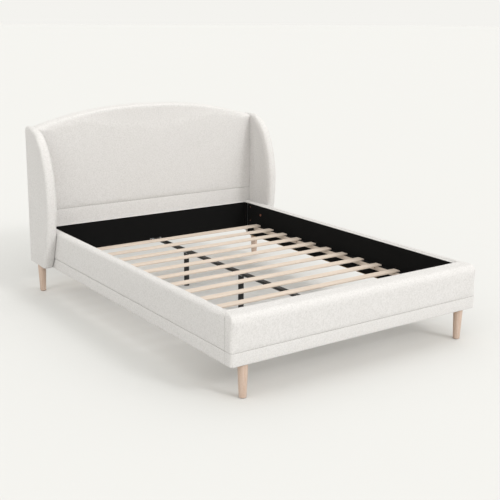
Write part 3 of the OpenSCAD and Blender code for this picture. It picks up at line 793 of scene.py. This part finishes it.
strip_section = outline([(strip_lo.y, BOARD_TOP, 0, 1), (strip_lo.y, EDGE_Z, 0.003, 2),
                         (strip_hi.y, EDGE_Z, 0.002, 1), (strip_hi.y, BOARD_TOP, 0, 2)])
strip_rings = [np.stack([np.full(len(strip_section), x), *strip_section.T], 1)
               for x in np.linspace(strip_lo.x, strip_hi.x, 2 * rows(strip_hi.x))]
head_strip = loft("head_rail_strip", strip_rings)
spots = points_of(head_strip)
strip_held = np.maximum(1.0 * (spots[:, 2] < EDGE_Z - 0.002), near(spots[:, 1] - strip_hi.y, 0.01))
puff(head_strip, strip_held, cap=0.0015)
finish_pad(head_strip, ["head_rail_cover"], seed=10, unevenness=0.0004)

# %% [markdown]
# ## Wings
#
# Each wing is a sawn timber shape under thick foam, so nothing on it is sharp. Here the usual cushion
# recipe works best: extrude the outline, bevel its edges, remesh it into even 6 mm squares, and let
# cloth simulation fill it. The outline is the same pair of curves that the frame's wing is cut to. The
# foam is thinner towards the top, so the outer face leans in a little, and it is rolled thicker along
# the front edge.
# %% Wings
WING_SOLE = 0.226                # depth of a wing's flat underside
WAIST = 0.397                    # height of a wing's belly above its underside
WING_THICK = wing_hi.x - wing_lo.x
WING_ROLL = 0.019                # how much of a wing's edges the first bevel takes
ROLL_DEPTH = 0.13                # how far back from the front edge the thicker foam reaches
TAPER_Z = 0.3                    # height above which a wing gets thinner

def bezier(points, steps):
    """Points on a cubic Bezier curve given by its four control points."""
    a, b, c, d = (np.array(p) for p in points)
    t = np.linspace(0, 1, steps + 1)[:, None]
    return (1 - t) ** 3 * a + 3 * t * (1 - t) ** 2 * b + 3 * t * t * (1 - t) * c + t ** 3 * d

def wing_outline():
    """Side outline of a wing as (y, z), from the bottom of its back edge round its belly to the top."""
    back, belly, base, top = wing_hi.y, wing_lo.y, wing_lo.z, wing_hi.z
    waist = base + WAIST
    lower = bezier([(back - WING_SOLE, base), (back - 0.282, base + 0.052),
                    (belly, base + 0.217), (belly, waist)], 14)
    upper = bezier([(belly, waist), (belly, waist + 0.2),
                    (back - 0.252, top - 0.007), (back - 0.087, top)], 16)
    return np.concatenate([[(back, base)], lower, upper[1:], [(back, top - 0.003)]])

def wing_block():
    """Right wing as an extruded block with its edges bevelled, but for the square ones at its back."""
    work = bmesh.new()
    side = [work.verts.new((wing_lo.x, y, z)) for y, z in wing_outline()]
    face = work.faces.new(side)
    moved = bmesh.ops.extrude_face_region(work, geom=[face])["geom"]
    bmesh.ops.translate(work, verts=[v for v in moved if isinstance(v, bmesh.types.BMVert)],
                        vec=(WING_THICK, 0, 0))
    bmesh.ops.recalc_face_normals(work, faces=work.faces)
    rims = [e for e in work.edges if abs(e.verts[0].co.x - e.verts[1].co.x) < 1e-6]
    soft = [e for e in rims
            if max(v.co.y for v in e.verts) < wing_hi.y - 1e-6 or min(v.co.z for v in e.verts) > 0.9]
    bmesh.ops.bevel(work, geom=soft, offset=WING_ROLL, offset_type="OFFSET", segments=5, profile=0.5,
                    affect="EDGES")
    mesh = bpy.data.meshes.new("right_wing_padding")
    work.to_mesh(mesh)
    work.free()
    piece = bpy.data.objects.new("right_wing_padding", mesh)
    scene.collection.objects.link(piece)
    return piece

wing = wing_block()
remesh = wing.modifiers.new("Remesh", "REMESH")
remesh.mode = "VOXEL"
remesh.voxel_size = 0.006
settle(wing)
spots = points_of(wing)
front_y, front_z = wing_outline()[1:-1].T
roll = near(spots[:, 1] - np.interp(spots[:, 2], front_z, front_y), ROLL_DEPTH)
share = (spots[:, 0] - wing_lo.x) / WING_THICK
taper = 1.06 - 0.17 * np.clip((spots[:, 2] - TAPER_Z) / (wing_hi.z - TAPER_Z), 0, 1)
outer = WING_THICK * taper + 0.008 * roll
free = np.clip((spots[:, 2] - CROWN_Z) / 0.12, 0, 1) * np.clip((upper_lo.y - spots[:, 1]) / 0.08, 0, 1)
spots[:, 0] = wing_lo.x + share * outer - (1 - share) * 0.009 * roll * free
move_points(wing, spots)
against_bed = (spots[:, 1] > upper_lo.y - 0.01) | (spots[:, 2] < CROWN_Z + 0.01)
wing_held = np.maximum.reduce([
    near(spots[:, 2] - BASE_Z, 0.02), near(wing_hi.y - spots[:, 1], 0.02),
    1.0 * (spots[:, 0] < wing_lo.x + 0.003) * against_bed,
    near(spots[:, 0] - wing_lo.x, 0.004) * near(np.maximum(0, upper_lo.y - spots[:, 1]), 0.05)])
puff(wing, wing_held, cap=0.004)

# Below the rail's crown the wing is pressed against the rail, which squares its inner edge.
spots = points_of(wing)
pressed = near(np.maximum(0, spots[:, 2] - CROWN_Z + 0.03), 0.05) * (spots[:, 1] < upper_lo.y)
depth = spots[:, 0] - wing_lo.x
spots[:, 0] -= pressed * np.where(depth < 0.02, 0.0012 + 0.65 * depth * np.clip(1 - depth / 0.02, 0, 1), 0)
move_points(wing, spots)

def wing_dart_distance(places):
    """Distance from the short dart at the bottom of a wing's front edge, on its outer face."""
    along = np.hypot(places[:, 1] - (wing_hi.y - WING_SOLE), np.maximum(0, places[:, 2] - BASE_Z - 0.03))
    return np.hypot(along, np.maximum(0, wing_hi.x - 0.02 - np.abs(places[:, 0])))

wing_dart = [(0.0025, wing_dart_distance, 0.008)]
left_wing = mirrored(wing, "left_wing_padding")
finish_pad(left_wing, ["left_wing_cover"], seed=12, unevenness=0.0012, dents=wing_dart)
finish_pad(wing, ["right_wing_cover"], seed=11, unevenness=0.0012, dents=wing_dart)

# %% [markdown]
# ## Seams
#
# A lockstitch shows as short, fat threads lying end to end in the valley of a seam. There are thousands,
# all alike, which is work for Geometry Nodes: a line is drawn along each seam, cut into equal steps, and
# a small thread is set on every point, turned to the line. Modelling one and arraying it would not
# follow the corners.
# %% Geometry Nodes tree that sews along a line
def input_socket(tree, name, kind, value):
    """Adds a named input to a geometry tree, with its starting value."""
    socket = tree.interface.new_socket(name, in_out="INPUT", socket_type=kind)
    if value is not None:
        socket.default_value = value
    return socket.identifier

def node_tree(name):
    """Empty geometry tree with a geometry input and output."""
    tree = bpy.data.node_groups.new(name, "GeometryNodeTree")
    tree.interface.new_socket("Geometry", in_out="INPUT", socket_type="NodeSocketGeometry")
    tree.interface.new_socket("Geometry", in_out="OUTPUT", socket_type="NodeSocketGeometry")
    return tree

def close_tree(tree, shapes, material):
    """Ends a tree: real geometry in place of instances, in one material."""
    real = add(tree, "GeometryNodeRealizeInstances", {0: shapes})
    painted = add(tree, "GeometryNodeSetMaterial", {"Geometry": real.outputs[0]})
    painted.inputs["Material"].default_value = material
    add(tree, "NodeGroupOutput", {"Geometry": painted.outputs[0]})

sewing = node_tree("lockstitch")
stitch_sizes = {"Stitch pitch": 0.004, "Stitch length": 0.0032, "Thread width": 0.0016}
sewing_inputs = {name: input_socket(sewing, name, "NodeSocketFloat", value)
                 for name, value in stitch_sizes.items()}
given = add(sewing, "NodeGroupInput")
line = add(sewing, "GeometryNodeMeshToCurve", {"Mesh": given.outputs["Geometry"]})
steps = add(sewing, "GeometryNodeResampleCurve", {
    "Curve": line.outputs[0], "Length": given.outputs["Stitch pitch"]}, mode="LENGTH")
bead = add(sewing, "GeometryNodeMeshUVSphere", {"Segments": 5, "Rings": 4, "Radius": 0.5})
heading = add(sewing, "FunctionNodeAlignRotationToVector",
              {"Vector": add(sewing, "GeometryNodeInputTangent").outputs[0]}, axis="X")
measure = add(sewing, "ShaderNodeCombineXYZ", {
    0: given.outputs["Stitch length"], 1: given.outputs["Thread width"], 2: given.outputs["Thread width"]})
sewn = add(sewing, "GeometryNodeInstanceOnPoints", {
    "Points": steps.outputs[0], "Instance": bead.outputs[0], "Rotation": heading.outputs[0],
    "Scale": measure.outputs[0]})
# The stitches take the thread whose dark grey is partly painted shade for the seam valleys.
close_tree(sewing, sewn.outputs[0], SEAM_SHADE_THREAD)
print("sewing tree takes", list(sewing_inputs))

# %% Sew every seam
def run_tree(piece, tree, values, name):
    """Runs a geometry tree on a piece with the given inputs, and keeps the result as a plain mesh."""
    nodes = piece.modifiers.new(name, "NODES")
    nodes.node_group = tree
    for identifier, value in values.items():
        nodes[identifier] = value
    settle(piece)

def line_object(name, lines):
    """Object with one chain of edges for each line of points."""
    places, edges = [], []
    for points in lines:
        edges += [(len(places) + i, len(places) + i + 1) for i in range(len(points) - 1)]
        places += [tuple(p) for p in points]
    mesh = bpy.data.meshes.new(name)
    mesh.from_pydata(places, edges, [])
    piece = bpy.data.objects.new(name, mesh)
    scene.collection.objects.link(piece)
    return piece

def both_sides(points):
    """A line on the right-hand side, and its mirror image."""
    return [points, [(-x, y, z) for x, y, z in points]]

sunk = OUT_X - SEAM_DEPTH
upright_x = OUT_X - TUCK * 0.45
crown_seam_z = EDGE_Z - 0.0006
head_seam_y = upper_lo.y + SEAM_DEPTH
round_foot = [(p.x + i.x * SEAM_DEPTH, p.y + i.y * SEAM_DEPTH, BAND_Z) for p, i, _, _ in corner_path()]
seams = [
    round_foot,
    *both_sides([(sunk, CORNER_Y, BAND_Z), (sunk, wing_lo.y + 0.08, BAND_Z)]),
    *both_sides([(upright_x, CORNER_Y, BASE_Z + 0.006), (upright_x, CORNER_Y, CROWN_Z - RAIL_ROLL)]),
    *both_sides([(CROWN_SEAM_X, WELL_Y + 0.012, crown_seam_z),
                 (CROWN_SEAM_X, rail_hi.y - 0.002, crown_seam_z)]),
    [(-HALF + 0.004, head_seam_y, upper_lo.z), (HALF - 0.004, head_seam_y, upper_lo.z)],
]
stitches = line_object("seam_stitches", seams)
run_tree(stitches, sewing, {sewing_inputs[name]: value for name, value in stitch_sizes.items()}, "lockstitch")
hand_over(stitches)

# %% [markdown]
# ## Slats
#
# The slats are one planed board repeated twelve times, so they are a rule as well: how many, and how
# far apart. One slat with eased edges is modelled, and a tree sets copies of it along a line towards
# the foot end. Each copy carries its own number, and the wood's grain is shifted by it.
# %% Slats
def eased_block(name, low, high, ease):
    """Block between two corners with its edges rounded by ease."""
    work = bmesh.new()
    bmesh.ops.create_cube(work, size=1)
    middle, size = (low + high) / 2, high - low
    for v in work.verts:
        v.co = Vector(middle[i] + v.co[i] * size[i] for i in range(3))
    bmesh.ops.bevel(work, geom=list(work.edges), offset=ease, segments=2, profile=0.5, affect="EDGES")
    mesh = bpy.data.meshes.new(name)
    work.to_mesh(mesh)
    work.free()
    piece = bpy.data.objects.new(name, mesh)
    scene.collection.objects.link(piece)
    return piece

slat_names = sorted((n for n in frame["nodes"] if n.startswith("slat_")), key=lambda n: int(n.split("_")[1]))
first_slat, second_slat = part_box(slat_names[0]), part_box(slat_names[1])
slat_row = node_tree("slat_row")
slat_inputs = {"Count": input_socket(slat_row, "Count", "NodeSocketInt", 12),
               "Pitch": input_socket(slat_row, "Pitch", "NodeSocketFloat", 0.15)}
given = add(slat_row, "NodeGroupInput")
towards_foot = add(slat_row, "ShaderNodeCombineXYZ", {1: given.outputs["Pitch"]})
places = add(slat_row, "GeometryNodeMeshLine", {
    "Count": given.outputs["Count"], "Offset": towards_foot.outputs[0]})
copies = add(slat_row, "GeometryNodeInstanceOnPoints", {
    "Points": places.outputs[0], "Instance": given.outputs["Geometry"]})
numbers = add(slat_row, "ShaderNodeMath", {0: add(slat_row, "GeometryNodeInputIndex").outputs[0], 1: 1.37},
              operation="MULTIPLY")
marked = add(slat_row, "GeometryNodeStoreNamedAttribute",
             {"Geometry": copies.outputs[0], "Name": SLAT_TONE, "Value": numbers.outputs[0]},
             data_type="FLOAT", domain="INSTANCE")
close_tree(slat_row, marked.outputs[0], slat_wood)

slats = eased_block("slats", *first_slat, ease=0.0015)
run_tree(slats, slat_row, {slat_inputs["Count"]: len(slat_names),
                           slat_inputs["Pitch"]: second_slat[0].y - first_slat[0].y}, "slat_row")
slats.data.polygons.foreach_set("use_smooth", [False] * len(slats.data.polygons))
hand_over(slats, slat_names)

# %% [markdown]
# ## Legs
#
# The legs are turned on a lathe: a straight taper with its lower rim eased. A loft of circles up one
# axis gives exactly that. The axis of each leg is the middle of its box, and the radius at the foot is
# measured on the frame's own leg.
# %% Legs
leg_lo, leg_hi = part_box("front_right_leg")
leg_points = points_of(frame["nodes"]["front_right_leg"])
sole_x = leg_points[leg_points[:, 2] < leg_lo.z + 0.004][:, 0].max()
FOOT_R = float(sole_x) - (leg_lo.x + leg_hi.x) / 2
print("legs taper to a radius of", round(FOOT_R, 4))

def turned_leg(name, node):
    """Tapered leg in the place of a frame part, with small easings at the top and the foot."""
    low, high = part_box(node)
    middle = (low + high) / 2
    top_r = (high.x - low.x) / 2
    profile = [(FOOT_R - 0.0032, low.z), (FOOT_R - 0.0015, low.z + 0.0005), (FOOT_R - 0.0004, low.z + 0.0017),
               (FOOT_R, low.z + 0.0036), ((FOOT_R + top_r) / 2, middle.z),
               (top_r - 0.0004, high.z - 0.002), (top_r - 0.001, high.z - 0.0003), (top_r - 0.002, high.z)]
    turns = [2 * math.pi * k / 48 for k in range(48)]
    rings = [[(middle.x + r * math.cos(a), middle.y + r * math.sin(a), z) for a in turns] for r, z in profile]
    piece = loft(name, rings)
    piece.data.polygons.foreach_set("use_smooth", [True] * len(piece.data.polygons))
    piece.data.materials.append(leg_wood)
    return piece

for place in ("front_left", "front_right", "rear_left", "rear_right"):
    leg = turned_leg(f"{place}_turned_leg", f"{place}_leg")
    hand_over(leg, [f"{place}_leg"])

# %% [markdown]
# ## Screws and bolts
#
# Eighteen countersunk screws and six bolts hold the bed together. One of each is modelled with the
# recess that a driver needs. The frame's own fasteners say where the heads are: every separate solid
# in them is measured, and a tree puts a screw on each head, facing into the well. The screws come in
# more than one length, so each length is modelled once.
# %% Model a screw and a bolt
def fastener(name, head, recess, depth, shank_r, length, segments=20):
    """Fastener along +Z with the underside of its head at the origin, and a recess in its top."""
    work = bmesh.new()
    turns = [2 * math.pi * k / segments for k in range(segments)]

    def ring(r, z):
        return [work.verts.new((r * math.cos(a), r * math.sin(a), z)) for a in turns]

    levels = [ring(r, z) for r, z in head] + [ring(shank_r, 0), ring(shank_r, length)]
    for upper, lower in zip(levels, levels[1:]):
        for k in range(segments):
            work.faces.new((upper[k], upper[(k + 1) % segments], lower[(k + 1) % segments], lower[k]))
    work.faces.new(levels[-1])
    mouth = [work.verts.new((x, y, head[0][1])) for x, y in recess]
    rim = [work.edges.new((mouth[k], mouth[(k + 1) % len(mouth)])) for k in range(len(mouth))]
    outer = [work.edges.get((levels[0][k], levels[0][(k + 1) % segments])) for k in range(segments)]
    bmesh.ops.triangle_fill(work, use_beauty=True, edges=rim + outer)
    floor_points = [work.verts.new((v.co.x * 0.8, v.co.y * 0.8, v.co.z + depth)) for v in mouth]
    for k in range(len(mouth)):
        n = (k + 1) % len(mouth)
        work.faces.new((mouth[k], mouth[n], floor_points[n], floor_points[k]))
    work.faces.new(floor_points)
    bmesh.ops.recalc_face_normals(work, faces=work.faces)
    mesh = bpy.data.meshes.new(name)
    work.to_mesh(mesh)
    work.free()
    piece = bpy.data.objects.new(name, mesh)
    scene.collection.objects.link(piece)
    return piece

def cross(reach, half):
    """Outline of a cross recess."""
    quarter = [(reach, -half), (reach, half), (half, half)]
    return [(x * c - y * s, x * s + y * c) for c, s in ((1, 0), (0, 1), (-1, 0), (0, -1)) for x, y in quarter]

def hexagon(r):
    """Outline of a hexagon socket."""
    return [(r * math.cos(math.pi * k / 3), r * math.sin(math.pi * k / 3)) for k in range(6)]

def solids_of(node):
    """Lowest and highest corner of every separate solid in a frame part."""
    work = bmesh.new()
    work.from_mesh(frame["nodes"][node].data)
    bmesh.ops.remove_doubles(work, verts=work.verts, dist=1e-6)
    left, boxes = set(work.verts), []
    while left:
        group, edge = set(), {left.pop()}
        while edge:
            group |= edge
            edge = {e.other_vert(v) for v in edge for e in v.link_edges} - group
        left -= group
        co = np.array([v.co for v in group])
        boxes.append((Vector(co.min(0)), Vector(co.max(0))))
    work.free()
    return sorted(boxes, key=lambda b: tuple(round(c, 4) for c in (*b[0], *b[1])))

screw_boxes = solids_of("panel_screws")
bolt_boxes = {node: solids_of(node) for node in ("wing_bolts", "rail_bolts")}
print(len(screw_boxes), "screws and", sum(len(boxes) for boxes in bolt_boxes.values()), "bolts")

# %% Put them in place
def heads(boxes, head_t):
    """For each fastener, the underside of its head and the way its shank points, away from the well."""
    found = []
    for low, high in boxes:
        size, middle = high - low, (low + high) / 2
        axis = max(range(2), key=lambda i: size[i])
        sign = 1 if middle[axis] > 0 else -1
        seat = middle.copy()
        seat[axis] = (low if sign > 0 else high)[axis] + sign * head_t
        found.append((seat, Vector(sign if i == axis else 0 for i in range(3)), size[axis] - head_t))
    return found

fixing = node_tree("fixings")
fixing_inputs = {"Fastener": input_socket(fixing, "Fastener", "NodeSocketObject", None)}
given = add(fixing, "NodeGroupInput")
model = add(fixing, "GeometryNodeObjectInfo", {"Object": given.outputs["Fastener"]})
way = add(fixing, "GeometryNodeInputNamedAttribute", {"Name": "way"}, data_type="FLOAT_VECTOR")
turned = add(fixing, "FunctionNodeAlignRotationToVector", {"Vector": way.outputs[0]}, axis="Z")
set_in = add(fixing, "GeometryNodeInstanceOnPoints", {
    "Points": given.outputs["Geometry"], "Instance": model.outputs["Geometry"],
    "Rotation": turned.outputs[0]})
close_tree(fixing, set_in.outputs[0], finishes["bronzed_steel"])

def place_fasteners(name, model_piece, seats):
    """Sets one model on every seat."""
    mesh = bpy.data.meshes.new(name)
    mesh.from_pydata([tuple(seat) for seat, _, _ in seats], [], [])
    way_mark = mesh.attributes.new("way", "FLOAT_VECTOR", "POINT")
    way_mark.data.foreach_set("vector", [c for _, direction, _ in seats for c in direction])
    piece = bpy.data.objects.new(name, mesh)
    scene.collection.objects.link(piece)
    run_tree(piece, fixing, {fixing_inputs["Fastener"]: model_piece}, "fixings")
    piece.data.polygons.foreach_set("use_smooth", [False] * len(piece.data.polygons))
    return piece

HEAD_T = 0.0016                  # thickness of a screw's head
BOLT_HEAD_T = 0.004              # thickness of a bolt's domed head
screws_by_length = {}
for seat in heads(screw_boxes, HEAD_T):
    screws_by_length.setdefault(round(seat[2], 3), []).append(seat)
for length, seats in sorted(screws_by_length.items()):
    screw_model = fastener("screw_model", [(0.0038, -HEAD_T), (0.004, -HEAD_T * 0.85), (0.0028, 0)],
                           cross(0.0022, 0.0005), 0.0012, 0.0018, length)
    screws = place_fasteners(f"screws_{round(length * 1000)}mm", screw_model, seats)
    bpy.data.objects.remove(screw_model)
    hand_over(screws, ["panel_screws"])

dome = [(0.0045 + 0.0035 * math.sin(a), -BOLT_HEAD_T * math.cos(a)) for a in np.linspace(0.15, 1.35, 5)]
for node, boxes in bolt_boxes.items():
    seats = heads(boxes, BOLT_HEAD_T)
    bolt_model = fastener("bolt_model", [*dome, (0.008, 0)], hexagon(0.0028), 0.0025, 0.004, seats[0][2],
                          segments=28)
    bolts = place_fasteners(f"{node}_set", bolt_model, seats)
    bpy.data.objects.remove(bolt_model)
    hand_over(bolts, [node])
